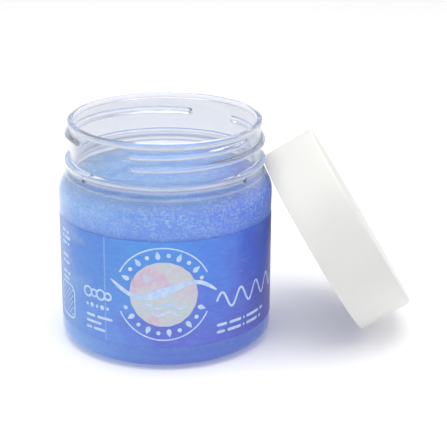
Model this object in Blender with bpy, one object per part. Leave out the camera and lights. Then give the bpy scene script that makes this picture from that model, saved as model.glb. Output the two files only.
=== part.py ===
"""An open screw-top jar of body gel in a wrap label, with its cap leaning on the shoulder.

Metres, +Z up. The origin is the centre of the jar's flat base, on the surface that it
stands on, and +X points from the jar to its cap.
"""

from math import cos, pi, radians, sin

import bmesh
import bpy
from mathutils import Matrix, Vector

# Jar
BODY_RADIUS = 0.0375
JAR_HEIGHT = 0.0792
WALL = 0.0015
BASE = 0.0020
HEEL_REACH, HEEL_RISE = 0.0070, 0.0046  # how far the heel curves in and up
SHOULDER_START = 0.0534  # height where the straight side begins to bend in
SHOULDER_ROUND = 0.0080
SHOULDER_TURN = radians(30)  # the shoulder runs straight from here to the groove
GROOVE_RADIUS, GROOVE_HEIGHT = 0.0342, 0.0625
BEAD_RADIUS, BEAD_LOW, BEAD_HIGH = 0.03505, 0.0648, 0.0651
NECK_RADIUS, NECK_START, NECK_WALL = 0.0332, 0.0656, 0.0015
LIP_RADIUS, LIP_DEPTH, LIP_ROUND = 0.0337, 0.0018, 0.0005

# Thread on the neck: one right-hand start, left out where the mould's halves part
THREAD_RADIUS = 0.0348
THREAD_PITCH = 0.00425
THREAD_MIDDLE = 0.0717  # height of the ridge's middle at +X
THREAD_ROOT_WIDTH, THREAD_CREST_WIDTH = 0.0027, 0.0008
THREAD_RUNS = (
    (radians(-109), radians(47)),
    (radians(73), radians(212)),
    (radians(250), radians(331)),
)
THREAD_FADE = radians(9)  # how much of each end slopes down into the wall

# What is in and on the jar
CLEARANCE = 0.0003
GEL_CLEARANCE = 0.0004  # a little more, because flat faces cut across the heel's curve
GEL_LEVEL = 0.0592
GEL_RIPPLE = 0.0005
LABEL_BOTTOM, LABEL_TOP = 0.0089, 0.0468
LABEL_THICKNESS = 0.0003

# Cap, modelled with its open rim at height 0 and its top upwards, then leant over
CAP_RADIUS, CAP_HEIGHT = 0.0360, 0.0200
CAP_WALL, CAP_TOP = 0.0010, 0.0014
CAP_ROUND, CAP_RIM_ROUND = 0.0013, 0.0003
CAP_THREAD_RADIUS = 0.0342
CAP_THREAD_MIDDLE = 0.0045
CAP_THREAD_RUN = (radians(0), radians(400))
CAP_RISE = radians(30.7)  # how far its axis points up from level
CAP_TURN = radians(4.7)  # how far its axis turns from +X to +Y
CAP_FOOT = Vector((0.0712, 0.0076, 0.0))  # where the rim's lowest point stands

SIDES = 60
HEEL_STEPS, SHOULDER_STEPS, EDGE_STEPS = 5, 4, 2
MERGE = 0.00001


def arc(centre, radius, start, end, steps):
    """Points (radius, height) along an arc, both ends included."""
    angles = [start + (end - start) * i / steps for i in range(steps + 1)]
    return [(centre[0] + radius * cos(a), centre[1] + radius * sin(a)) for a in angles]


def material(name, colour, roughness, alpha=1.0):
    """A Principled material in one plain colour."""
    made = bpy.data.materials.new(name)
    made.use_nodes = True
    shader = made.node_tree.nodes["Principled BSDF"]
    shader.inputs["Base Color"].default_value = (*colour, 1.0)
    shader.inputs["Roughness"].default_value = roughness
    shader.inputs["Metallic"].default_value = 0.0
    shader.inputs["Alpha"].default_value = alpha
    made.diffuse_color = (*colour, alpha)
    return made


def finished(name, mesh, look):
    """Turns a bmesh into a smooth-shaded object."""
    bmesh.ops.recalc_face_normals(mesh, faces=mesh.faces)
    data = bpy.data.meshes.new(name)
    mesh.to_mesh(data)
    mesh.free()
    data.shade_smooth()
    data.set_sharp_from_angle(angle=radians(35))
    data.materials.append(look)
    made = bpy.data.objects.new(name, data)
    bpy.context.scene.collection.objects.link(made)
    return made


def turned(outline):
    """A bmesh spun about Z from points (radius, height), which start on the axis or form a loop."""
    mesh = bmesh.new()
    points = [mesh.verts.new((r, 0.0, z)) for r, z in outline]
    edges = [mesh.edges.new(pair) for pair in zip(points, points[1:])]
    if outline[0][0] > 0:
        edges.append(mesh.edges.new((points[-1], points[0])))
    bmesh.ops.spin(
        mesh, geom=points + edges, cent=(0, 0, 0), axis=(0, 0, 1), angle=2 * pi, steps=SIDES
    )
    bmesh.ops.remove_doubles(mesh, verts=mesh.verts, dist=MERGE)
    return mesh


def ridge(root, crest, middle, run):
    """A bmesh of one run of thread, standing on a wall of radius root, out or in to crest.

    It keeps its foot inside the wall, and both ends sink into it. middle is the height of
    the ridge's middle at angle 0.
    """
    start, end = run
    steps = round((end - start) / (2 * pi) * SIDES)
    foot = root - 0.4 * (crest - root)
    outline = (
        (foot, -THREAD_ROOT_WIDTH / 2),
        (crest, -THREAD_CREST_WIDTH / 2),
        (crest, THREAD_CREST_WIDTH / 2),
        (foot, THREAD_ROOT_WIDTH / 2),
    )
    mesh = bmesh.new()
    rings = []
    for step in range(steps + 1):
        angle = start + (end - start) * step / steps
        shown = min(1.0, 0.15 + min(angle - start, end - angle) / THREAD_FADE)
        height = middle + THREAD_PITCH * angle / (2 * pi)
        reaches = [(foot + (r - foot) * shown, height + z) for r, z in outline]
        ring = [mesh.verts.new((r * cos(angle), r * sin(angle), z)) for r, z in reaches]
        rings.append(ring)
    for ring, following in zip(rings, rings[1:]):
        for i in range(len(ring)):
            corners = (ring[i - 1], ring[i], following[i], following[i - 1])
            mesh.faces.new(corners)
    mesh.faces.new(rings[0])
    mesh.faces.new(rings[-1])
    return mesh


def join_ridges(body, ridges):
    """Adds each ridge to a body with a Boolean, and keeps it as a hidden guide."""
    for guide in ridges:
        guide.matrix_world = body.matrix_world.copy()
        guide.hide_render = True
        guide.display_type = "WIRE"
        joined = body.modifiers.new(guide.name, "BOOLEAN")
        joined.operation = "UNION"
        joined.object = guide


def body_side(inset):
    """The jar's side from heel to groove, (radius, height) points, moved inwards by inset."""
    reach, rise = HEEL_REACH - inset, HEEL_RISE - inset
    quarter = arc((0.0, 0.0), 1.0, -pi / 2, 0, HEEL_STEPS)
    side = [(BODY_RADIUS - HEEL_REACH + x * reach, HEEL_RISE + z * rise) for x, z in quarter]
    shoulder = (BODY_RADIUS - SHOULDER_ROUND, SHOULDER_START)
    side += arc(shoulder, SHOULDER_ROUND - inset, 0, SHOULDER_TURN, SHOULDER_STEPS)
    side.append((GROOVE_RADIUS - 1.07 * inset, GROOVE_HEIGHT - 0.6 * inset))
    return side


def make_jar(look):
    """The clear jar: one wall from the base to the lip, with a panel sunk for the label."""
    side = body_side(0.0)
    sunk = BODY_RADIUS - LABEL_THICKNESS - CLEARANCE
    heel, shoulder = side[: HEEL_STEPS + 1], side[HEEL_STEPS + 1 :]
    panel = [
        (BODY_RADIUS, LABEL_BOTTOM - CLEARANCE),
        (sunk, LABEL_BOTTOM - CLEARANCE),
        (sunk, LABEL_TOP + CLEARANCE),
        (BODY_RADIUS, LABEL_TOP + CLEARANCE),
    ]
    bead = [(BEAD_RADIUS, BEAD_LOW), (BEAD_RADIUS - MERGE, BEAD_HIGH), (NECK_RADIUS, NECK_START)]
    lip_low = JAR_HEIGHT - LIP_DEPTH
    lip = [(NECK_RADIUS, lip_low - LIP_ROUND), (LIP_RADIUS, lip_low)]
    lip += arc((LIP_RADIUS - LIP_ROUND, JAR_HEIGHT - LIP_ROUND), LIP_ROUND, 0, pi / 2, EDGE_STEPS)
    outside = [(0.0, 0.0)] + heel + panel + shoulder + bead + lip
    bore = NECK_RADIUS - NECK_WALL
    mouth = arc((bore + LIP_ROUND, JAR_HEIGHT - LIP_ROUND), LIP_ROUND, pi / 2, pi, EDGE_STEPS)
    inner_side = [(r, max(z, BASE)) for r, z in body_side(WALL)]
    inside = mouth + [(bore, NECK_START - NECK_WALL)] + inner_side[::-1] + [(0.0, BASE)]
    jar = finished("jar", turned(outside + inside), look)
    ridges = [
        finished(f"neck_thread_{i}", ridge(NECK_RADIUS, THREAD_RADIUS, THREAD_MIDDLE, run), look)
        for i, run in enumerate(THREAD_RUNS, 1)
    ]
    join_ridges(jar, ridges)


def make_gel(look):
    """The gel up to its level, with the soft swirl that a spoon leaves in its top."""
    inset = WALL + GEL_CLEARANCE
    *side, groove = [(r, max(z, BASE + GEL_CLEARANCE)) for r, z in body_side(inset)]
    bend = side[-1]
    share = (GEL_LEVEL - bend[1]) / (groove[1] - bend[1])
    edge = bend[0] + share * (groove[0] - bend[0])
    top = [(edge * share, GEL_LEVEL) for share in (1, 0.8, 0.6, 0.4, 0.2, 0)]
    gel = turned([(0.0, BASE + GEL_CLEARANCE)] + side + top)
    for point in gel.verts:
        if point.co.z > GEL_LEVEL - MERGE:
            reach = point.co.xy.length / edge
            turn = Vector((1, 0)).angle_signed(point.co.xy) if reach > 0.01 else 0.0
            swirl = sin(2 * turn + 5 * reach) * reach * (1 - reach) * 4
            point.co.z -= GEL_RIPPLE * (1 - swirl) * (1 - reach**6)
    finished("gel", gel, look)


def make_label(look):
    """The film round the jar's side, flush with it."""
    inner = BODY_RADIUS - LABEL_THICKNESS
    sleeve = [
        (inner, LABEL_BOTTOM),
        (BODY_RADIUS, LABEL_BOTTOM),
        (BODY_RADIUS, LABEL_TOP),
        (inner, LABEL_TOP),
    ]
    finished("label", turned(sleeve), look)


def make_cap(look):
    """The white screw cap, open side to the jar, standing on its rim's lowest point."""
    bore = CAP_RADIUS - CAP_WALL
    under = CAP_HEIGHT - CAP_TOP
    outline = [(0.0, under), (bore - CAP_TOP, under), (bore, under - CAP_TOP), (bore, 0.0)]
    rim = (CAP_RADIUS - CAP_RIM_ROUND, CAP_RIM_ROUND)
    outline += arc(rim, CAP_RIM_ROUND, -pi / 2, 0, EDGE_STEPS)
    edge = (CAP_RADIUS - CAP_ROUND, CAP_HEIGHT - CAP_ROUND)
    outline += arc(edge, CAP_ROUND, 0, pi / 2, EDGE_STEPS + 1) + [(0.0, CAP_HEIGHT)]
    cap = finished("cap", turned(outline), look)
    inner = ridge(bore, CAP_THREAD_RADIUS, CAP_THREAD_MIDDLE, CAP_THREAD_RUN)
    lean = Matrix.Rotation(CAP_TURN, 4, "Z") @ Matrix.Rotation(pi / 2 - CAP_RISE, 4, "Y")
    lowest = min((lean @ point.co for point in cap.data.vertices), key=lambda place: place.z)
    cap.matrix_world = Matrix.Translation(CAP_FOOT - lowest) @ lean
    join_ridges(cap, [finished("cap_thread", inner, look)])


def main():
    for old in list(bpy.data.objects):
        bpy.data.objects.remove(old, do_unlink=True)
    make_jar(material("clear_plastic", (0.86, 0.88, 0.92), 0.05, alpha=0.3))
    make_gel(material("blue_gel", (0.16, 0.33, 0.80), 0.12))
    make_label(material("label_film", (0.13, 0.28, 0.78), 0.30))
    make_cap(material("white_plastic", (0.85, 0.85, 0.84), 0.45))


main()
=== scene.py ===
"""An open clear jar of pearly blue body gel in a wrap label, with its white cap leaning on it."""

import random
from math import atan2, cos, degrees, hypot, pi, radians, sin, tau

import bpy
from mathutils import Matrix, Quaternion, Vector, noise


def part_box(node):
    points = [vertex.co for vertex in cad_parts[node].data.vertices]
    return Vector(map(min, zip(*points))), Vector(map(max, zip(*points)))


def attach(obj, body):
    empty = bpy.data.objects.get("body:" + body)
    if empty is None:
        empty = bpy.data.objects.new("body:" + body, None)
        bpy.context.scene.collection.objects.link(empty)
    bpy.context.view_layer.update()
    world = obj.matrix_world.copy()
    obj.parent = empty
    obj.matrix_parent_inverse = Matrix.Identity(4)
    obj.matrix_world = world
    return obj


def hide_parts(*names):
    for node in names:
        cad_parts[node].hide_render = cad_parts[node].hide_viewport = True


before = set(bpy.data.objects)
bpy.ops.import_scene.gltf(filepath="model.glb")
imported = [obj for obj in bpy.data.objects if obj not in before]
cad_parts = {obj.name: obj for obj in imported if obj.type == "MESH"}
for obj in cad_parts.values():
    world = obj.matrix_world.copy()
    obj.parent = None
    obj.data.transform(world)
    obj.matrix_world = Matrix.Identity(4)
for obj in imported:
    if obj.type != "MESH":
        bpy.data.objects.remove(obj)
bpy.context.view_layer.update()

MM = 0.001

# Jar, in millimetres and degrees
SIDE_RADIUS = 37.5
WALL, BASE = 1.5, 2.0
INSIDE_RADIUS = SIDE_RADIUS - WALL
HEEL_CENTRE, HEEL_REACH, HEEL_RISE = (30.5, 5.1), 5.5, 3.1  # the oval inside the heel
SHOULDER_CENTRE, SHOULDER_ROUND = (29.5, 53.4), 6.5  # the round inside the shoulder
PANEL_DEPTH = 0.25
NECK_RADIUS = 33.2
NECK_ROWS = 44
THREAD_RISE = 1.6
THREAD_ROOT, THREAD_CREST = 1.35, 0.35  # half widths
THREAD_PITCH = 4.25
THREAD_MIDDLE = 71.7  # height of the ridge's middle at +X
THREAD_RUNS = ((-109, 47, 5, 6), (73, 216, 6, 30), (250, 331, 6, 16))  # start, end, fades
LUG_REACH, LUG_TURNS, LUG_HEIGHTS = 34.9, (219.5, 323), (62.5, 63.0)
PARTING_TURNS = (84.4, 264.4)

# Gel and label, in millimetres and degrees
GEL_LEVEL = 59.3
GEL_SINK = 0.15  # how far the gel reaches into the wall, so that no air shows
LABEL_BOTTOM, LABEL_TOP = 8.9, 46.8
LABEL_SEAM = 239
LABEL_LAP = 0.04
INK_LIFT, SWIRL_LIFT, INK_DEPTH = 0.02, 0.13, 0.05
ROUNDEL_TURN, ROUNDEL_HEIGHT, ROUNDEL_RADIUS = 271, 28.15, 11.5
WAVES_TURN = 299.5
DROPS_TURN = 226.5
FRAME_TURN, FRAME_HEIGHT = 206.3, 17.8

# Cap, in millimetres and degrees, with its open rim at height 0
CAP_RADIUS, CAP_HEIGHT = 36.0, 20.0
CAP_WALL, CAP_TOP = 1.0, 1.4
CAP_ROUND, CAP_RIM_ROUND = 1.3, 0.3
CAP_THREAD_RISE, CAP_THREAD_MIDDLE = 0.8, 4.5
CAP_THREAD_RUNS = ((0, 400, 5, 5),)
CAP_RISE, CAP_TURN = 30.7, 4.7


# ---------------------------------------------------------------- modelling


def arc(centre, radius, start, end, steps, tall=None):
    """Points (radius, height) along an arc in degrees, or an oval one that is tall high."""
    tall = tall or radius
    angles = [radians(start + (end - start) * i / steps) for i in range(steps + 1)]
    return [(centre[0] + radius * cos(a), centre[1] + tall * sin(a)) for a in angles]


def smooth(low, high, value):
    """0 below low, 1 above high, and an even slope between them."""
    share = min(1.0, max(0.0, (value - low) / (high - low)))
    return share * share * (3 - 2 * share)


def turn_of(x, y):
    """Which way round Z a place lies, in degrees from 0 to 360."""
    return degrees(atan2(y, x)) % 360


def push_out(point, rise):
    """Moves a point of a mesh away from Z by rise, or towards it."""
    reach = hypot(point.co.x, point.co.y)
    if reach:
        point.co.x += point.co.x / reach * rise * MM
        point.co.y += point.co.y / reach * rise * MM


def pick(piece):
    """Selects one piece alone."""
    bpy.ops.object.select_all(action="DESELECT")
    piece.select_set(True)
    bpy.context.view_layer.objects.active = piece


def spun(name, outline, steps):
    """A closed body turned about Z from an outline of (radius, height) points."""
    bpy.ops.object.select_all(action="DESELECT")
    bpy.ops.mesh.primitive_plane_add(size=0.001, location=(0, 0, 0))
    piece = bpy.context.object
    piece.name = name
    piece.data.name = name
    bpy.ops.object.mode_set(mode="EDIT")
    bpy.ops.mesh.select_all(action="SELECT")
    bpy.ops.mesh.merge(type="CENTER")
    here = Vector((outline[0][0] * MM, 0, outline[0][1] * MM))
    bpy.ops.transform.translate(value=here)
    for radius, height in outline[1:]:
        there = Vector((radius * MM, 0, height * MM))
        bpy.ops.mesh.extrude_region_move(TRANSFORM_OT_translate={"value": there - here})
        here = there
    bpy.ops.mesh.select_all(action="SELECT")
    bpy.ops.mesh.remove_doubles(threshold=0.000001)
    bpy.ops.mesh.spin(steps=steps, angle=tau, center=(0, 0, 0), axis=(0, 0, 1))
    bpy.ops.mesh.select_all(action="SELECT")
    bpy.ops.mesh.remove_doubles(threshold=0.000002)
    bpy.ops.mesh.normals_make_consistent(inside=False)
    bpy.ops.object.mode_set(mode="OBJECT")
    return piece


def ridge_height(turn, height, middle, runs):
    """How much of a thread's full rise stands at a place on the wall, from 0 to 1."""
    most = 0.0
    for start, end, rising, falling in runs:
        for lap in (-360, 0, 360):
            along = turn + lap
            if start < along < end:
                away = abs(height - middle - THREAD_PITCH * along / 360)
                ends = smooth(0, rising, along - start) * smooth(0, falling, end - along)
                most = max(most, (1 - smooth(THREAD_CREST, THREAD_ROOT, away)) * ends)
    return most


def shade(piece, angle):
    """Shades a piece smooth, with its edges sharper than angle kept sharp."""
    pick(piece)
    bpy.ops.object.shade_smooth_by_angle(angle=radians(angle))


def applied(piece):
    """Sets a piece's place into its mesh."""
    pick(piece)
    bpy.ops.object.transform_apply(location=True, rotation=True, scale=True)
    return piece


def joined(name, parts):
    """Several objects made one piece."""
    bpy.ops.object.select_all(action="DESELECT")
    for part in parts:
        part.select_set(True)
    bpy.context.view_layer.objects.active = parts[0]
    bpy.ops.object.join()
    piece = bpy.context.object
    piece.name = name
    piece.data.name = name
    return piece


# ---------------------------------------------------------------- jar


def jar_wall():
    """The clear jar with its heel, label panel, shoulder, bead, screw neck and lip."""
    panel = SIDE_RADIUS - PANEL_DEPTH
    heel = [(0, 0), (12, 0), (24, 0)] + arc((30.5, 4.6), 7.0, -90, 0, 16, 4.6)
    side = [(SIDE_RADIUS, 8.8), (panel, 8.88), (panel, 20), (panel, 34), (panel, 46.82)]
    shoulder = [(SIDE_RADIUS, 46.9)] + arc(SHOULDER_CENTRE, SHOULDER_ROUND + WALL, 0, 28.5, 12)
    shoulder += [(35.9, 58.5), (35.3, 59.85), (34.75, 61.0), (34.4, 61.7), (34.26, 62.1)]
    groove = [(34.2, 62.5), (34.27, 62.95), (34.5, 63.5), (34.75, 64.05), (34.93, 64.5)]
    bead = [(35.02, 64.75), (35.05, 64.95), (34.99, 65.12), (34.84, 65.22), (34.2, 65.34)]
    bead += [(33.6, 65.46), (33.38, 65.58), (33.25, 65.78)]
    neck = [(NECK_RADIUS, z) for z in (66.1, 67.0, 68.0)]
    neck += [(NECK_RADIUS, 68.6 + 8.5 * i / NECK_ROWS) for i in range(NECK_ROWS + 1)]
    lip = [(33.38, 77.25), (33.60, 77.4), (33.70, 77.6), (33.70, 78.2)]
    lip += arc((33.2, 78.7), 0.5, 0, 90, 5) + arc((32.2, 78.7), 0.5, 90, 180, 5)
    bore = [(31.7, 77.4 - 1.8 * i) for i in range(7)]
    bore += [(31.72, 65.0), (31.8, 64.0), (32.02, 63.0), (32.4, 62.0), (32.88, 61.0)]
    bore += [(33.45, 59.9), (34.3, 58.25)] + arc(SHOULDER_CENTRE, SHOULDER_ROUND, 30, 0, 12)
    bore += [(INSIDE_RADIUS, z) for z in (44, 34, 24, 14)]
    bore += arc(HEEL_CENTRE, HEEL_REACH, 0, -90, 10, HEEL_RISE)
    bore += [(24, BASE), (12, BASE), (0, BASE)]
    outside = heel + side + shoulder + groove + bead + neck + lip
    jar = spun("jar_wall", outside + bore, 320)
    for point in jar.data.vertices:
        x, y, z = point.co / MM
        push_out(point, jar_relief(hypot(x, y), turn_of(x, y), z))
    shade(jar, 60)
    return jar


def jar_relief(reach, turn, height):
    """How far the thread, the stops in the groove and the parting lines stand out."""
    rise = 0.0
    if reach > 33.0 and 68.3 < height < 77.15:
        rise = THREAD_RISE * ridge_height(turn, height, THREAD_MIDDLE, THREAD_RUNS)
    if reach > 33.5 and 61.9 < height < 64.7:
        near = min(abs(turn - lug) for lug in LUG_TURNS)
        if near < 1.2:
            rise += max(0.0, 35.1 - reach) * (1 - near / 2.4) * smooth(61.9, 62.4, height)
    if reach > 33.0 and height > 48.0:
        near = min(abs(turn - part) for part in PARTING_TURNS)
        fade = smooth(48, 52, height) * (1 - smooth(68, 70, height))
        rise += 0.07 * max(0.0, 1 - near / 0.6) * fade
    return rise


# ---------------------------------------------------------------- gel


def gel_top(x, y, edge):
    """Height of the gel's scooped and swirled top at a place, in millimetres."""
    reach = hypot(x, y) / edge
    turn = atan2(y, x)
    swirl = sin(2 * turn + 6.5 * reach + 0.6) * reach * (1 - reach) * 4
    lumps = noise.noise(Vector((x * 0.11, y * 0.11, 3.7)))
    fine = noise.noise(Vector((x * 0.32, y * 0.32, 8.1)))
    inner = 1 - smooth(0.86, 1.0, reach)
    wall = smooth(0.93, 1.0, reach)
    return GEL_LEVEL - 0.5 + (0.7 * swirl + 1.0 * lumps + 0.45 * fine) * inner + 0.5 * wall


def gel_body():
    """The gel, pressed to the wall, with the soft folds that a spoon leaves in its top."""
    sink = GEL_SINK
    side = [(reach, BASE - sink) for reach in (0, 12, 24)]
    side += arc(HEEL_CENTRE, HEEL_REACH + sink, -90, 0, 10, HEEL_RISE + sink)
    side += [(INSIDE_RADIUS + sink, z) for z in (12, 20, 28, 36, 44)]
    side += arc(SHOULDER_CENTRE, SHOULDER_ROUND + sink, 0, 30, 8)
    side += [(34.44, 58.25), (34.02, 59.1)]
    edge = side[-1][0]
    rings = 64
    top = [(edge * (rings - i) / rings, GEL_LEVEL) for i in range(1, rings + 1)]
    gel = spun("gel_body", side + top, 256)
    for point in gel.data.vertices:
        x, y, z = point.co / MM
        if z > GEL_LEVEL - 0.02:
            point.co.z = gel_top(x, y, edge) * MM
    shade(gel, 70)
    for face in gel.data.polygons:
        open_top = face.center.z > 57.2 * MM and face.normal.z > 0.6
        face.material_index = 1 if open_top else 0
    return gel


def bubble(radius):
    """One small air bubble, in few faces."""
    bpy.ops.object.select_all(action="DESELECT")
    bpy.ops.mesh.primitive_uv_sphere_add(segments=8, ring_count=6, radius=radius * MM)
    seed = bpy.context.object
    bpy.ops.object.mode_set(mode="EDIT")
    bpy.ops.mesh.select_all(action="SELECT")
    bpy.ops.transform.resize(value=(1.0, 0.9, 0.82))
    bpy.ops.object.mode_set(mode="OBJECT")
    bpy.ops.object.shade_smooth()
    return seed


def wall_reach(height):
    """How far from Z the jar's inner wall stands at a height."""
    cone_foot, cone_reach, cone_slope = 56.65, 35.13, 0.51
    if height > cone_foot:
        return cone_reach - (height - cone_foot) * cone_slope
    if height > SHOULDER_CENTRE[1]:
        up = height - SHOULDER_CENTRE[1]
        return SHOULDER_CENTRE[0] + (SHOULDER_ROUND**2 - up**2) ** 0.5
    if height < HEEL_CENTRE[1]:
        down = (HEEL_CENTRE[1] - height) / HEEL_RISE
        return HEEL_CENTRE[0] + HEEL_REACH * (1 - down**2) ** 0.5
    return INSIDE_RADIUS


def placed_copy(seed, place, size, turn=0.0):
    """A copy of a small shape with its own mesh, at a place in millimetres."""
    copy = seed.copy()
    copy.data = seed.data.copy()
    bpy.context.scene.collection.objects.link(copy)
    copy.location = [along * MM for along in place]
    copy.rotation_euler = (0, 0, turn)
    copy.scale = size
    return copy


def gel_bubbles():
    """Fine bubbles caught against the wall above and below the label and in the gel's top."""
    chance = random.Random(11)
    seed = bubble(0.5)
    places = []
    for _ in range(760):
        height = chance.triangular(46.0, 58.9, 56.5)
        places.append((chance.uniform(0, tau), height, chance.uniform(0.18, 0.52)))
    for _ in range(130):
        places.append((chance.uniform(0, tau), chance.uniform(3.0, 9.0), chance.uniform(0.2, 0.42)))
    made = []
    for turn, height, size in places:
        reach = wall_reach(height) + 0.12
        spot = (reach * cos(turn), reach * sin(turn), height)
        flat = (size * 0.45, size * chance.uniform(0.9, 1.7), size)
        made.append(placed_copy(seed, spot, flat, turn))
    for _ in range(90):
        turn, reach = chance.uniform(0, tau), 32.5 * chance.uniform(0.1, 1.0) ** 0.5
        x, y = reach * cos(turn), reach * sin(turn)
        size = chance.uniform(0.25, 0.7)
        made.append(placed_copy(seed, (x, y, gel_top(x, y, 34.0)), (size, size, size * 0.7)))
    bpy.data.objects.remove(seed, do_unlink=True)
    return applied(joined("gel_bubbles", made))


# ---------------------------------------------------------------- label


def label_film():
    """The printed film round the side, its end lapped over its start at the seam."""
    inner = SIDE_RADIUS - 0.22
    heights = [LABEL_BOTTOM + (LABEL_TOP - LABEL_BOTTOM) * i / 12 for i in range(13)]
    outline = [(inner, heights[0])] + [(SIDE_RADIUS - 0.04, z) for z in heights]
    outline += [(inner, heights[-1]), (inner, heights[0])]
    film = spun("label_film", outline, 360)
    for point in film.data.vertices:
        x, y, _ = point.co / MM
        past = (turn_of(x, y) - LABEL_SEAM + 0.01) % 360
        if hypot(x, y) > SIDE_RADIUS - 0.1:
            push_out(point, LABEL_LAP * (1 - smooth(9, 14, past)))
    shade(film, 40)
    return film


def wrapped(piece, turn, height, lift=INK_LIFT):
    """Lays a flat shape drawn in X and Y round the label, centred at turn and height."""
    reach = SIDE_RADIUS + lift
    for point in piece.data.vertices:
        along, up = point.co.x / MM, point.co.y / MM
        angle = radians(turn) + along / SIDE_RADIUS
        point.co = Vector((reach * cos(angle), reach * sin(angle), height + up)) * MM
    return piece


def inked(name, parts):
    """Printed shapes made one piece, as a layer with a little thickness."""
    piece = joined(name, parts)
    layer = piece.modifiers.new("ink", "SOLIDIFY")
    layer.thickness = INK_DEPTH * MM
    layer.offset = -1
    bpy.ops.object.modifier_apply(modifier=layer.name)
    shade(piece, 40)
    return piece


def ribbon(path, width, steps):
    """A flat band along path(share), width(share) wide, in X and Y, with share from 0 to 1."""
    bpy.ops.object.select_all(action="DESELECT")
    bpy.ops.mesh.primitive_grid_add(x_subdivisions=steps, y_subdivisions=2, size=2)
    band = bpy.context.object
    for point in band.data.vertices:
        share = (point.co.x + 1) / 2
        side = point.co.y
        before = Vector(path(max(0.0, share - 0.004)))
        after = Vector(path(min(1.0, share + 0.004)))
        ahead = (after - before).normalized()
        across = Vector((-ahead.y, ahead.x))
        spot = Vector(path(share)) + across * side * width(share) / 2
        point.co = (spot.x * MM, spot.y * MM, 0)
    return band


def bar(x, length, height):
    """A short band with round ends."""

    def width(share):
        end = min(share, 1 - share) * length / (height / 2)
        return height * (1 - max(0.0, 1 - end) ** 2) ** 0.5 + 0.01

    return ribbon(lambda share: (x + length * share, 0), width, max(12, round(length * 3)))


def dashes(turn, start, height, lengths, tall, gap):
    """A row of short bars on the label, at a height and with gaps between them."""
    row = []
    x = start
    for length in lengths:
        row.append(wrapped(bar(x, length, tall), turn, height))
        x += length + gap
    return row


def disc(x, y, radius, sides=20, rings=2):
    """A flat round spot, in rings of faces round its middle."""
    bpy.ops.object.select_all(action="DESELECT")
    bpy.ops.mesh.primitive_circle_add(vertices=sides, radius=radius * MM, fill_type="NOTHING")
    spot = bpy.context.object
    bpy.ops.object.mode_set(mode="EDIT")
    bpy.ops.mesh.select_all(action="SELECT")
    size = 1.0
    for ring in range(rings - 1, 0, -1):
        bpy.ops.mesh.extrude_region_move()
        bpy.ops.transform.resize(value=(ring / rings / size, ring / rings / size, 1))
        size = ring / rings
    bpy.ops.mesh.extrude_region_move()
    bpy.ops.mesh.merge(type="CENTER")
    bpy.ops.mesh.select_all(action="SELECT")
    bpy.ops.transform.translate(value=(x * MM, y * MM, 0))
    bpy.ops.mesh.remove_doubles(threshold=0.000002)
    bpy.ops.mesh.normals_make_consistent(inside=False)
    bpy.ops.object.mode_set(mode="OBJECT")
    return spot


def circle_line(x, radius, width, steps, start=0.0, sweep=1.0):
    """A thin round line, or part of one."""

    def path(share):
        angle = tau * (start + sweep * share)
        return (x + radius * cos(angle), radius * sin(angle))

    return ribbon(path, lambda share: width, steps)


def label_roundel():
    """The pearly pastel spot in the middle of the front, with a softly scalloped edge."""
    spot = disc(0, 0, ROUNDEL_RADIUS, 216, 12)
    for point in spot.data.vertices:
        turn = atan2(point.co.y, point.co.x)
        rim = smooth(9.6, ROUNDEL_RADIUS, point.co.xy.length / MM)
        push_out(point, 0.16 * abs(cos(9 * turn)) * rim)
    return inked("label_roundel", [wrapped(spot, ROUNDEL_TURN, ROUNDEL_HEIGHT)])


def label_swirl():
    """A pale flowing band across the roundel, with two fine ripples under it."""

    def flow(share):
        x = -18.5 + 37.0 * share
        return (x, 1.3 + 3.9 * sin(x * 0.20 - 0.25) * (0.45 + 0.55 * abs(x) / 18.5))

    def swell(share):
        return 0.3 + 3.0 * sin(pi * share) ** 0.7 * (0.75 + 0.25 * cos(4 * pi * share))

    parts = [ribbon(flow, swell, 110)]
    for drop, half in ((-4.3, 8.2), (-6.9, 6.3)):

        def ripple(share, drop=drop, half=half):
            x = half * (2 * share - 1)
            return (x, drop + 0.75 * sin(x * 0.85))

        parts.append(ribbon(ripple, lambda share: 0.12 + 0.85 * sin(pi * share) ** 0.5, 60))
    raised = [wrapped(part, ROUNDEL_TURN, ROUNDEL_HEIGHT, SWIRL_LIFT) for part in parts]
    return inked("label_swirl", raised)


def label_ring():
    """Petals and dots in a ring round the roundel, inside a thin broken circle."""
    parts = []
    for start in (0.070, 0.570):
        parts.append(circle_line(0, 16.6, 0.5, 110, start, 0.360))
    count = 24
    for i in range(count):
        turn = tau * (i + 0.5) / count
        if abs(sin(turn)) < 0.30:
            continue
        if i % 2:
            parts.append(disc(14.1 * cos(turn), 14.1 * sin(turn), 0.75, 14))
        else:

            def petal(share, turn=turn):
                reach = 12.6 + 3.0 * share
                return (reach * cos(turn), reach * sin(turn))

            parts.append(ribbon(petal, lambda share: 0.1 + 1.6 * sin(pi * share**0.7), 10))
    return inked("label_ring", [wrapped(part, ROUNDEL_TURN, ROUNDEL_HEIGHT) for part in parts])


def label_waves():
    """The open wave line and its two rows of small dashes, right of the roundel."""

    def wave(share):
        x = 33.0 * share
        return (x, 2.9 * sin(x * tau / 8.25))

    parts = [wrapped(ribbon(wave, lambda share: 0.8, 220), WAVES_TURN, 23.85)]
    for height, lengths in ((15.0, (4.2, 5.6, 0.8, 7.4, 2.2)), (12.4, (3.4, 6.3, 0.8, 6.6, 1.6))):
        parts += dashes(WAVES_TURN, 0.0, height, lengths, 1.05, 0.9)
    return inked("label_waves", parts)


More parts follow.
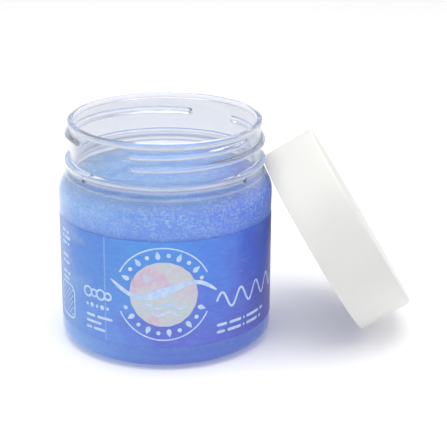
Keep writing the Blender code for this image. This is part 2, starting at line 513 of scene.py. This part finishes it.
def label_drops():
    """A row of rings, a row of dots and three rows of dashes, left of the roundel."""
    parts = []
    for i, radius in enumerate((1.75, 1.25, 1.75, 1.25)):
        parts.append(wrapped(circle_line(0.4 + 2.95 * i, radius, 0.75, 40), DROPS_TURN, 25.3))
    for i in range(5):
        parts.append(wrapped(disc(0.1 + 2.25 * i, 0, 0.85 if i % 2 else 0.6), DROPS_TURN, 20.75))
    for height, lengths in ((16.9, (4.3, 6.6)), (14.6, (7.0,)), (12.3, (2.6, 5.2))):
        parts += dashes(DROPS_TURN, -0.6, height, lengths, 0.95, 0.8)
    return inked("label_drops", parts)


def label_frame():
    """A rounded square frame round a chequer of dots, under rows of dashes, at the far left."""

    def square(share):
        turn = tau * share
        bulge = (abs(cos(turn)) ** 5 + abs(sin(turn)) ** 5) ** (-1 / 5)
        return (5.5 * bulge * cos(turn), 6.1 * bulge * sin(turn))

    parts = [wrapped(ribbon(square, lambda share: 0.75, 120), FRAME_TURN, FRAME_HEIGHT)]
    for row in range(9):
        for column in range(8):
            if (row + column) % 2:
                x, y = -3.9 + 1.12 * column, -4.5 + 1.12 * row
                parts.append(wrapped(disc(x, y, 0.42, 10), FRAME_TURN, FRAME_HEIGHT))
    for height, lengths in (
        (43.0, (3.4, 2.0)),
        (40.8, (1.6, 4.6)),
        (38.6, (4.0, 1.4)),
        (34.0, (5.2,)),
        (31.6, (2.4, 2.8)),
        (27.8, (3.6, 2.2)),
        (25.6, (5.6,)),
    ):
        parts += dashes(FRAME_TURN, -3.6, height, lengths, 1.0, 0.8)
    return inked("label_frame", parts)


# ---------------------------------------------------------------- cap


def cap_shell():
    """The white screw cap with its thread inside, standing on its rim against the jar."""
    bore = CAP_RADIUS - CAP_WALL
    under = CAP_HEIGHT - CAP_TOP
    outline = [(0, under), (12, under), (24, under), (33.0, under)]
    outline += arc((bore - 1.4, under - 1.4), 1.4, 90, 0, 6)
    outline += [(bore, 15.6), (bore, 14.0), (bore, 12.6)]
    outline += [(bore, 12.3 - 0.3 * i) for i in range(38)]
    outline += [(bore, 0.9), (bore, 0.45), (bore + 0.12, 0.12), (bore + 0.35, 0.0)]
    outline += arc((CAP_RADIUS - CAP_RIM_ROUND, CAP_RIM_ROUND), CAP_RIM_ROUND, -90, 0, 4)
    outline += [(CAP_RADIUS, z) for z in (4, 8, 12, 16)]
    outline += arc((CAP_RADIUS - CAP_ROUND, CAP_HEIGHT - CAP_ROUND), CAP_ROUND, 0, 90, 8)
    outline += [(24, CAP_HEIGHT), (12, CAP_HEIGHT), (0, CAP_HEIGHT)]
    cap = spun("cap_shell", outline, 256)
    for point in cap.data.vertices:
        x, y, z = point.co / MM
        if abs(hypot(x, y) - bore) < 0.01 and 1.0 < z < 12.4:
            ridge = ridge_height(turn_of(x, y), z, CAP_THREAD_MIDDLE, CAP_THREAD_RUNS)
            push_out(point, -CAP_THREAD_RISE * ridge)
    cap.rotation_euler = (0, radians(90 - CAP_RISE), radians(CAP_TURN))
    applied(cap)
    corners = [point.co for point in cap.data.vertices]
    low = Vector([min(corner[i] for corner in corners) for i in range(3)])
    high = Vector([max(corner[i] for corner in corners) for i in range(3)])
    cad_low, cad_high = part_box("cap")
    cap.location = (cad_low + cad_high - low - high) / 2
    cap.location.z = -low.z
    applied(cap)
    shade(cap, 40)
    return cap


# ---------------------------------------------------------------- finishes


class Finish:
    """A Principled material, with short ways to lay nodes behind its sockets."""

    def __init__(self, name, roughness, ior=1.5):
        self.material = bpy.data.materials.new(name)
        self.material.use_nodes = True
        self.tree = self.material.node_tree
        self.shader = self.tree.nodes["Principled BSDF"]
        self.shader.inputs["Roughness"].default_value = roughness
        self.shader.inputs["IOR"].default_value = ior
        self.place = self.tree.nodes.new("ShaderNodeTexCoord").outputs["Object"]
        self.axes = self.node("ShaderNodeSeparateXYZ", Vector=self.place)

    def node(self, kind, settings=(), **sockets):
        """A node with its settings, and its sockets set or linked by name."""
        made = self.tree.nodes.new(kind)
        for key, value in dict(settings).items():
            setattr(made, key, value)
        for key, value in sockets.items():
            self.set(made.inputs[key.replace("_", " ")], value)
        return made

    def set(self, socket, value):
        """Links a socket to value, or sets it."""
        if isinstance(value, bpy.types.NodeSocket):
            self.tree.links.new(value, socket)
        elif isinstance(value, tuple) and len(value) == 3 and socket.type == "RGBA":
            socket.default_value = (*value, 1.0)
        else:
            socket.default_value = value

    def math(self, operation, *values):
        """One step of arithmetic."""
        made = self.tree.nodes.new("ShaderNodeMath")
        made.operation = operation
        for socket, value in zip(made.inputs, values):
            self.set(socket, value)
        return made.outputs[0]

    def span(self, value, low, high, to_low=0.0, to_high=1.0):
        """value between low and high, mapped softly to to_low and to_high."""
        made = self.node("ShaderNodeMapRange", {"interpolation_type": "SMOOTHSTEP"}, Value=value)
        keys = ("From Min", "From Max", "To Min", "To Max")
        for key, number in zip(keys, (low, high, to_low, to_high)):
            made.inputs[key].default_value = number
        return made.outputs["Result"]

    def noise(self, scale, detail=3.0, roughness=0.5, stretch=(1, 1, 1), turn=(0, 0, 0)):
        """Noise in Object coordinates, stretched and turned."""
        mapping = self.node("ShaderNodeMapping", Vector=self.place)
        mapping.inputs["Scale"].default_value = stretch
        mapping.inputs["Rotation"].default_value = [radians(angle) for angle in turn]
        made = self.node("ShaderNodeTexNoise", Vector=mapping.outputs[0], Scale=scale)
        made.inputs["Detail"].default_value = detail
        made.inputs["Roughness"].default_value = roughness
        return made.outputs[0]

    def ramp(self, value, stops):
        """A colour ramp from (place, colour) stops."""
        made = self.node("ShaderNodeValToRGB", Fac=value)
        points = made.color_ramp.elements
        while len(points) < len(stops):
            points.new(0.5)
        for point, (place, colour) in zip(points, stops):
            point.position = place
            point.color = (*colour, 1.0)
        return made.outputs["Color"]

    def mix(self, share, first, second):
        """Two colours mixed, by the node's sockets for colours."""
        made = self.node("ShaderNodeMix", {"data_type": "RGBA"})
        self.set(made.inputs[0], share)
        self.set(made.inputs[6], first)
        self.set(made.inputs[7], second)
        return made.outputs[2]

    def bump(self, height, strength, distance):
        """Fine relief on the whole finish."""
        made = self.node("ShaderNodeBump", Height=height, Strength=strength, Distance=distance)
        self.tree.links.new(made.outputs[0], self.shader.inputs["Normal"])

    def colour(self, value):
        """The finish's own colour."""
        self.set(self.shader.inputs["Base Color"], value)

    def rough(self, value):
        """The finish's roughness."""
        self.set(self.shader.inputs["Roughness"], value)


def tone(red, green, blue):
    """A linear colour from the 0 to 255 values that a swatch book gives."""
    return tuple(
        v / 12.92 if v <= 0.04045 else ((v + 0.055) / 1.055) ** 2.4
        for v in (red / 255, green / 255, blue / 255)
    )


def clear_plastic():
    """Clear moulded plastic, a little wavy and greyer in the neck, with painted shade in thin lines
    at the groove and spots at its stops, and a faint painted glow that grows to a painted highlight
    where it is thick, on the lip and on a band of the shoulder.
    """
    finish = Finish("clear_plastic", 0.035, 1.5)
    finish.shader.inputs["Transmission Weight"].default_value = 1.0
    x, y, z = (finish.axes.outputs[axis] for axis in "XYZ")
    tint_and_painted_shade = finish.mix(finish.span(z, 0.0560, 0.0605), tone(251, 252, 254), tone(212, 214, 220))
    # Two thin dark blue lines at the groove's edges are painted shade, laid over the neck's grey.
    for height in (0.0612, 0.0633):
        away = finish.math("ABSOLUTE", finish.math("SUBTRACT", z, height))
        tint_and_painted_shade = finish.mix(finish.span(away, 0.0005, 0.0002, 0, 0.6), tint_and_painted_shade, tone(120, 146, 205))
    # The plastic is painted dark blue round the two stops in the groove, a painted shade for the
    # dark glints there.
    lug_shade = 0.0
    for turn, height in zip(LUG_TURNS, LUG_HEIGHTS):
        spot = (LUG_REACH * cos(radians(turn)), LUG_REACH * sin(radians(turn)), height)
        away = finish.node("ShaderNodeVectorMath", {"operation": "DISTANCE"}, Vector=finish.place)
        away.inputs[1].default_value = [along * MM for along in spot]
        lug_shade = finish.math("MAXIMUM", lug_shade, finish.span(away.outputs["Value"], 0.0012, 0.0007))
    finish.colour(finish.mix(lug_shade, tint_and_painted_shade, tone(52, 64, 120)))
    # Painted glow: faint all over, growing to a painted highlight on the thick thread and bead, the
    # lip and a band of the shoulder, patchy, and none at the stops.
    reach = finish.math("MULTIPLY_ADD", x, x, finish.math("MULTIPLY", y, y))
    reach = finish.math("SQRT", reach)
    thick = finish.span(reach, 0.0334, 0.0343)
    painted_glow_share = finish.math("MULTIPLY", thick, finish.span(z, 0.0630, 0.0640))
    lip = finish.span(z, 0.0770, 0.0774)
    over, under = finish.span(z, 0.0588, 0.0597), finish.span(z, 0.0611, 0.0604)
    shoulder = finish.math("MULTIPLY", over, under)
    painted_glow_share = finish.math("MAXIMUM", painted_glow_share, finish.math("MULTIPLY", lip, 0.55))
    painted_glow_share = finish.math("MAXIMUM", painted_glow_share, finish.math("MULTIPLY", shoulder, 0.6))
    painted_glow_share = finish.math("MULTIPLY", painted_glow_share, finish.math("SUBTRACT", 1.0, lug_shade))
    uneven = finish.span(finish.noise(170, 3.0, stretch=(1, 1, 3)), 0.3, 0.7, 0.6, 1.0)
    painted_glow_share = finish.math("MULTIPLY", painted_glow_share, uneven)
    glow = finish.mix(painted_glow_share, (0.026, 0.030, 0.036), (0.13, 0.145, 0.165))
    finish.set(finish.shader.inputs["Emission Color"], glow)
    finish.shader.inputs["Emission Strength"].default_value = 1.0
    ripple = finish.noise(120, 2.0, stretch=(1, 1, 0.35))
    finish.bump(ripple, 0.10, 0.0006)
    return finish.material


# These gel colours run from -X to +X, and their darkening towards +X is partly painted shade.
GEL_SIDE_STOPS = (
    (0.04, tone(190, 218, 244)),
    (0.16, tone(158, 198, 236)),
    (0.40, tone(128, 170, 234)),
    (0.62, tone(122, 162, 234)),
    (0.82, tone(108, 138, 230)),
    (0.96, tone(110, 134, 232)),
)
GEL_LOW_STOPS = (
    (0.10, tone(140, 190, 240)),
    (0.36, tone(98, 130, 212)),
    (0.60, tone(78, 92, 196)),
    (0.90, tone(84, 86, 192)),
)
GEL_TOP_STOPS = (
    (0.04, tone(164, 196, 230)),
    (0.16, tone(146, 188, 234)),
    (0.40, tone(130, 176, 234)),
    (0.62, tone(124, 170, 234)),
    (0.82, tone(122, 152, 228)),
    (0.96, tone(116, 136, 220)),
)


def share_across(finish):
    """0 at the jar's -X side and 1 at its +X side."""
    return finish.math("MULTIPLY_ADD", finish.axes.outputs["X"], 0.5 / (SIDE_RADIUS * MM), 0.5)


def gel_colour(finish, stops, lift):
    """Pale cyan blue at -X turning to violet blue at +X, clouded with fine pearl; the darkening
    towards +X is partly the gel's own colour and partly painted shade.
    """
    across = share_across(finish)
    clouds = finish.noise(90, 4.0, 0.6, stretch=(1, 1, 1.6))
    across = finish.math("ADD", across, finish.span(clouds, 0.25, 0.75, -0.09, 0.09))
    base = finish.ramp(across, stops)
    strokes = finish.noise(560, 3.0, 0.65, stretch=(1, 1, 2.0), turn=(0, 24, 0))
    pale = finish.mix(finish.span(strokes, 0.50, 0.72, 0, lift), base, tone(224, 236, 252))
    return finish.mix(finish.span(strokes, 0.46, 0.28, 0, 0.35), pale, tone(86, 130, 226))


def blue_gel_side():
    """The gel where it lies against the wall, so it has no gloss of its own."""
    finish = Finish("blue_gel_side", 0.5, 1.36)
    finish.shader.inputs["Specular IOR Level"].default_value = 0.15
    z = finish.axes.outputs["Z"]
    colour = gel_colour(finish, GEL_SIDE_STOPS, 0.6)
    deep = finish.span(z, 0.046, 0.055, 0.5, 0.0)
    colour = finish.mix(deep, colour, tone(112, 156, 242))
    # A paler band near the top of the gel's side is a painted highlight.
    rim = finish.span(z, 0.0545, 0.0575, 0.0, 0.22)
    colour = finish.mix(rim, colour, tone(226, 236, 250))
    cells = finish.node("ShaderNodeTexVoronoi", Vector=finish.place, Scale=1050.0)
    froth = finish.math("MULTIPLY", finish.span(cells.outputs["Distance"], 0.62, 0.25), 0.36)
    froth = finish.math("MULTIPLY", froth, finish.span(finish.noise(150, 3.0), 0.38, 0.60))
    colour = finish.mix(froth, colour, tone(204, 224, 250))
    low = finish.span(z, 0.013, 0.005, 0.0, 0.8)
    finish.colour(finish.mix(low, colour, finish.ramp(share_across(finish), GEL_LOW_STOPS)))
    # A faint blue painted glow, as if light shone through the gel.
    finish.shader.inputs["Emission Color"].default_value = (0.10, 0.30, 0.90, 1.0)
    finish.shader.inputs["Emission Strength"].default_value = 0.20
    return finish.material


def blue_gel_top():
    """The wet, open top of the gel."""
    finish = Finish("blue_gel_top", 0.09, 1.38)
    colour = gel_colour(finish, GEL_TOP_STOPS, 0.4)
    clouds = finish.noise(75, 3.0, 0.6, stretch=(1, 1.6, 1), turn=(0, 0, 20))
    colour = finish.mix(finish.span(clouds, 0.50, 0.62, 0, 0.7), colour, tone(92, 150, 230))
    # Paler towards the back of the open top: a painted highlight.
    back = finish.span(finish.axes.outputs["Y"], 0.008, 0.030, 0.0, 0.6)
    finish.colour(finish.mix(back, colour, tone(196, 214, 238)))
    ripple = finish.noise(260, 2.0)
    finish.bump(ripple, 0.25, 0.0006)
    return finish.material


def bubble_skin():
    """Air seen through gel: painted pale as a painted highlight, with a faint painted glow and a
    bright glint.
    """
    finish = Finish("bubble_skin", 0.12, 1.4)
    shadow = finish.noise(900, 1.0)
    depth = finish.span(shadow, 0.35, 0.65)
    finish.colour(finish.mix(depth, tone(170, 202, 244), tone(206, 226, 250)))
    # Painted glow.
    finish.shader.inputs["Emission Color"].default_value = (0.62, 0.78, 1.0, 1.0)
    finish.shader.inputs["Emission Strength"].default_value = 0.10
    return finish.material


# Label colours from -X to +X; their darkening towards +X is partly print and partly painted shade.
LABEL_TOP_STOPS = (
    (0.04, tone(132, 164, 222)),
    (0.14, tone(84, 138, 222)),
    (0.32, tone(84, 150, 230)),
    (0.55, tone(82, 146, 232)),
    (0.76, tone(80, 130, 231)),
    (0.90, tone(76, 110, 219)),
    (0.98, tone(82, 108, 210)),
)
LABEL_LOW_STOPS = (
    (0.04, tone(112, 158, 220)),
    (0.14, tone(104, 150, 226)),
    (0.32, tone(104, 144, 226)),
    (0.48, tone(97, 115, 211)),
    (0.70, tone(99, 111, 212)),
    (0.90, tone(90, 97, 199)),
    (0.98, tone(94, 98, 191)),
)


def label_print():
    """Satin film printed in a watercolour wash from cyan blue to violet, its darkening towards +X
    partly print and partly painted shade.
    """
    finish = Finish("label_print", 0.38, 1.48)
    x, y, z = (finish.axes.outputs[axis] for axis in "XYZ")
    wash = finish.noise(55, 4.0, 0.55, stretch=(1, 1, 1.5), turn=(0, 30, 0))
    across = finish.math("ADD", share_across(finish), finish.span(wash, 0.25, 0.75, -0.10, 0.10))
    high = finish.ramp(across, LABEL_TOP_STOPS)
    low = finish.ramp(across, LABEL_LOW_STOPS)
    sweep = finish.noise(38, 3.0, 0.5, turn=(0, -20, 0))
    level = finish.math("ADD", z, finish.span(sweep, 0.25, 0.75, -0.007, 0.007))
    colour = finish.mix(finish.span(level, 0.008, 0.046), low, high)
    strokes = finish.noise(300, 4.0, 0.6, stretch=(1, 1, 3.0), turn=(0, 32, 0))
    colour = finish.mix(finish.span(strokes, 0.5, 0.8, 0, 0.22), colour, tone(150, 190, 240))
    colour = finish.mix(finish.span(strokes, 0.48, 0.2, 0, 0.25), colour, tone(78, 84, 178))
    turn = finish.math("ARCTAN2", y, x)
    seam = radians(LABEL_SEAM - 360)
    away = finish.math("ABSOLUTE", finish.math("SUBTRACT", turn, seam))
    colour = finish.mix(finish.span(away, 0.010, 0.003, 0, 0.5), colour, tone(160, 190, 240))
    finish.colour(colour)
    finish.rough(finish.span(strokes, 0.2, 0.8, 0.33, 0.45))
    finish.bump(finish.noise(700, 2.0), 0.06, 0.0002)
    return finish.material


def pale_ink():
    """Bluish white ink, slightly uneven where it lies on the film."""
    finish = Finish("pale_ink", 0.42, 1.48)
    patches = finish.noise(500, 3.0, 0.6)
    cover = finish.span(patches, 0.3, 0.7)
    finish.colour(finish.mix(cover, tone(176, 204, 244), tone(206, 224, 248)))
    finish.bump(patches, 0.05, 0.0001)
    return finish.material


def pearl_ink():
    """Pastel pearl: mint and grey marbled with pink and lilac."""
    finish = Finish("pearl_ink", 0.36, 1.5)
    veins = finish.noise(110, 3.0, 0.55)
    colour = finish.ramp(
        veins,
        (
            (0.30, tone(186, 206, 212)),
            (0.46, tone(196, 202, 210)),
            (0.56, tone(202, 192, 212)),
            (0.63, tone(206, 176, 202)),
            (0.70, tone(194, 188, 220)),
            (0.82, tone(194, 208, 216)),
        ),
    )
    grain = finish.noise(700, 2.0)
    colour = finish.mix(finish.span(grain, 0.4, 0.7, 0, 0.3), colour, tone(214, 216, 224))
    finish.colour(colour)
    finish.bump(veins, 0.05, 0.0002)
    return finish.material


def white_plastic():
    """White satin moulded plastic with a very fine grain."""
    finish = Finish("white_plastic", 0.4, 1.49)
    cloud = finish.noise(40, 3.0)
    shade_share = finish.span(cloud, 0.3, 0.7)
    finish.colour(finish.mix(shade_share, tone(224, 224, 222), tone(229, 229, 226)))
    grain = finish.noise(2600, 2.0)
    finish.bump(grain, 0.08, 0.00008)
    finish.rough(finish.span(cloud, 0.3, 0.7, 0.38, 0.46))
    return finish.material


# ---------------------------------------------------------------- stage


def studio_floor():
    """A wide plain white table top."""
    bpy.ops.object.select_all(action="DESELECT")
    bpy.ops.mesh.primitive_grid_add(x_subdivisions=8, y_subdivisions=8, size=8)
    floor = bpy.context.object
    floor.name = "studio_floor"
    finish = Finish("floor_paint", 0.9, 1.45)
    grain = finish.noise(60, 3.0)
    speckle = finish.span(grain, 0.3, 0.7)
    finish.colour(finish.mix(speckle, (0.845, 0.845, 0.845), (0.855, 0.855, 0.855)))
    finish.shader.inputs["Emission Color"].default_value = (0.88, 0.88, 1.0, 1.0)
    finish.shader.inputs["Emission Strength"].default_value = 0.19
    finish.shader.inputs["Specular IOR Level"].default_value = 0.1
    floor.data.materials.append(finish.material)


def soft_lamp():
    """A square soft box high over the set."""
    stand, aim = Vector((0, -0.12, 0.9)), Vector((0.02, 0, 0.03))
    bpy.ops.object.light_add(type="AREA", location=stand)
    lamp = bpy.context.object
    lamp.name = "overhead_box"
    lamp.data.shape = "SQUARE"
    lamp.data.size = 1.0
    lamp.data.energy = 8.1
    lamp.data.color = (1, 0.99, 0.965)
    lamp.rotation_euler = (aim - stand).to_track_quat("-Z", "Y").to_euler()


def studio_sky():
    """A pale room with a white wall at the back."""
    world = bpy.data.worlds.new("studio_sky")
    bpy.context.scene.world = world
    world.use_nodes = True
    nodes, links = world.node_tree.nodes, world.node_tree.links
    backdrop = nodes["Background"]
    direction = nodes.new("ShaderNodeTexCoord")
    axes = nodes.new("ShaderNodeSeparateXYZ")
    links.new(direction.outputs["Generated"], axes.inputs[0])
    ahead = nodes.new("ShaderNodeMapRange")
    ahead.interpolation_type = "SMOOTHSTEP"
    for key, number in (("From Min", 0.2), ("From Max", 0.8), ("To Min", 0.50), ("To Max", 0.90)):
        ahead.inputs[key].default_value = number
    links.new(axes.outputs["Y"], ahead.inputs["Value"])
    links.new(ahead.outputs["Result"], backdrop.inputs["Strength"])
    backdrop.inputs["Color"].default_value = (1.0, 1.0, 1.0, 1.0)


def studio_camera():
    """A long lens, a little above the lip."""
    stand, aim = Vector((0.0205, -0.4688, 0.2110)), Vector((0.0205, 0.0, 0.0400))
    bpy.ops.object.camera_add(location=stand)
    camera = bpy.context.object
    camera.name = "studio_camera"
    camera.data.lens = 113.0
    camera.data.sensor_width = 36
    camera.data.clip_start = 0.01
    camera.rotation_mode = "QUATERNION"
    level = (aim - stand).to_track_quat("-Z", "Y")
    camera.rotation_quaternion = level @ Quaternion((0, 0, 1), radians(0.42))
    bpy.context.scene.camera = camera


# ---------------------------------------------------------------- assembly


def place(piece, slot, *materials, stands_for=None):
    """Gives a finished piece its materials and its place on the frame."""
    for material in materials:
        piece.data.materials.append(material)
    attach(piece, "root")
    if stands_for:
        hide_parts(stands_for)


def main():
    ink = pale_ink()
    place(jar_wall(), "clear_plastic", clear_plastic(), stands_for="jar")
    place(gel_body(), "blue_gel", blue_gel_side(), blue_gel_top(), stands_for="gel")
    place(gel_bubbles(), "blue_gel", bubble_skin())
    place(label_film(), "label_film", label_print(), stands_for="label")
    place(label_roundel(), "label_film", pearl_ink())
    for printed in (label_swirl(), label_ring(), label_waves(), label_drops(), label_frame()):
        place(printed, "label_film", ink)
    place(cap_shell(), "white_plastic", white_plastic(), stands_for="cap")
    studio_floor()
    studio_sky()
    soft_lamp()
    studio_camera()
    bpy.context.scene.view_settings.view_transform = "Standard"


main()
